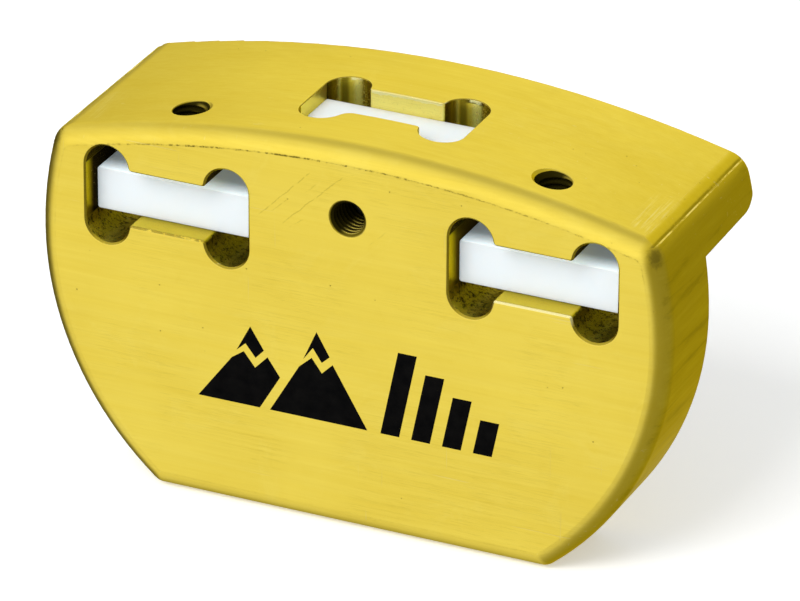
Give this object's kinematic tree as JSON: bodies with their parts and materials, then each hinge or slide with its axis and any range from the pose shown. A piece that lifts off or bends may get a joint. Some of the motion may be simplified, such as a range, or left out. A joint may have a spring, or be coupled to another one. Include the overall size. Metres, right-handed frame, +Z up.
{
  "type": "ski edge tuning tool",
  "caption": "L-section anodised aluminium hand block with crowned top, clamping white ceramic stones in windows at its inner corner to polish a ski or snowboard edge.",
  "frame": {"origin": "Centre of the bounding box in X and Y, on the plane of the flat bottom edge.", "axes": "+X along the tool's length to the right as seen from the front face; -Y out of the front face, so +Y runs toward the back of the flange; +Z up from the flat bottom edge to the crown."},
  "size_m": [0.104, 0.0368, 0.0638],
  "materials": {
    "anodised_body": "satin gold anodised",
    "stone": "matte white ceramic",
    "thrust_pad": "turned",
    "clamp_screw": "black oxide"
  },
  "bodies": {
    "body": {"body": "anodised_body"},
    "stone_side_left": {"stone_side_left": "stone"},
    "stone_side_right": {"stone_side_right": "stone"},
    "stone_base": {"stone_base": "stone"},
    "pad_side_left": {"pad_side_left": "thrust_pad"},
    "pad_side_right": {"pad_side_right": "thrust_pad"},
    "pad_base": {"pad_base": "thrust_pad"},
    "screw_side_left": {"screw_side_left": "clamp_screw"},
    "screw_side_right": {"screw_side_right": "clamp_screw"},
    "screw_base": {"screw_base": "clamp_screw"}
  },
  "joints": [
    {"name": "stone_side_left_slide", "type": "slide", "parent": "body", "child": "stone_side_left", "axis": [0, -1, 0], "range_m": [-0.0007, 0.018]},
    {"name": "pad_side_left_travel", "type": "slide", "parent": "body", "child": "pad_side_left", "axis": [0, 0, 1], "range_m": [0, 0.003]},
    {"name": "screw_side_left_turn", "type": "hinge", "parent": "pad_side_left", "child": "screw_side_left", "pos_m": [-0.0302, -0.0103, 0.0555], "axis": [0, 0, 1], "range_deg": [0, 1080.5]},
    {"name": "stone_side_right_slide", "type": "slide", "parent": "body", "child": "stone_side_right", "axis": [0, -1, 0], "range_m": [-0.0007, 0.018]},
    {"name": "pad_side_right_travel", "type": "slide", "parent": "body", "child": "pad_side_right", "axis": [0, 0, 1], "range_m": [0, 0.003]},
    {"name": "screw_side_right_turn", "type": "hinge", "parent": "pad_side_right", "child": "screw_side_right", "pos_m": [0.0302, -0.0103, 0.0555], "axis": [0, 0, 1], "range_deg": [0, 1080.5]},
    {"name": "stone_base_slide", "type": "slide", "parent": "body", "child": "stone_base", "axis": [0, 0, 1], "range_m": [-0.0007, 0.016]},
    {"name": "pad_base_travel", "type": "slide", "parent": "body", "child": "pad_base", "axis": [0, -1, 0], "range_m": [0, 0.003]},
    {"name": "screw_base_turn", "type": "hinge", "parent": "pad_base", "child": "screw_base", "pos_m": [0, -0.0085, 0.0523], "axis": [0, -1, 0], "range_deg": [0, 1080.5]}
  ],
  "couplings": [
    {"joint": "screw_side_left_turn", "follows": "pad_side_left_travel", "rad_per_m": 6283.2},
    {"joint": "screw_side_right_turn", "follows": "pad_side_right_travel", "rad_per_m": 6283.2},
    {"joint": "screw_base_turn", "follows": "pad_base_travel", "rad_per_m": 6283.2}
  ]
}
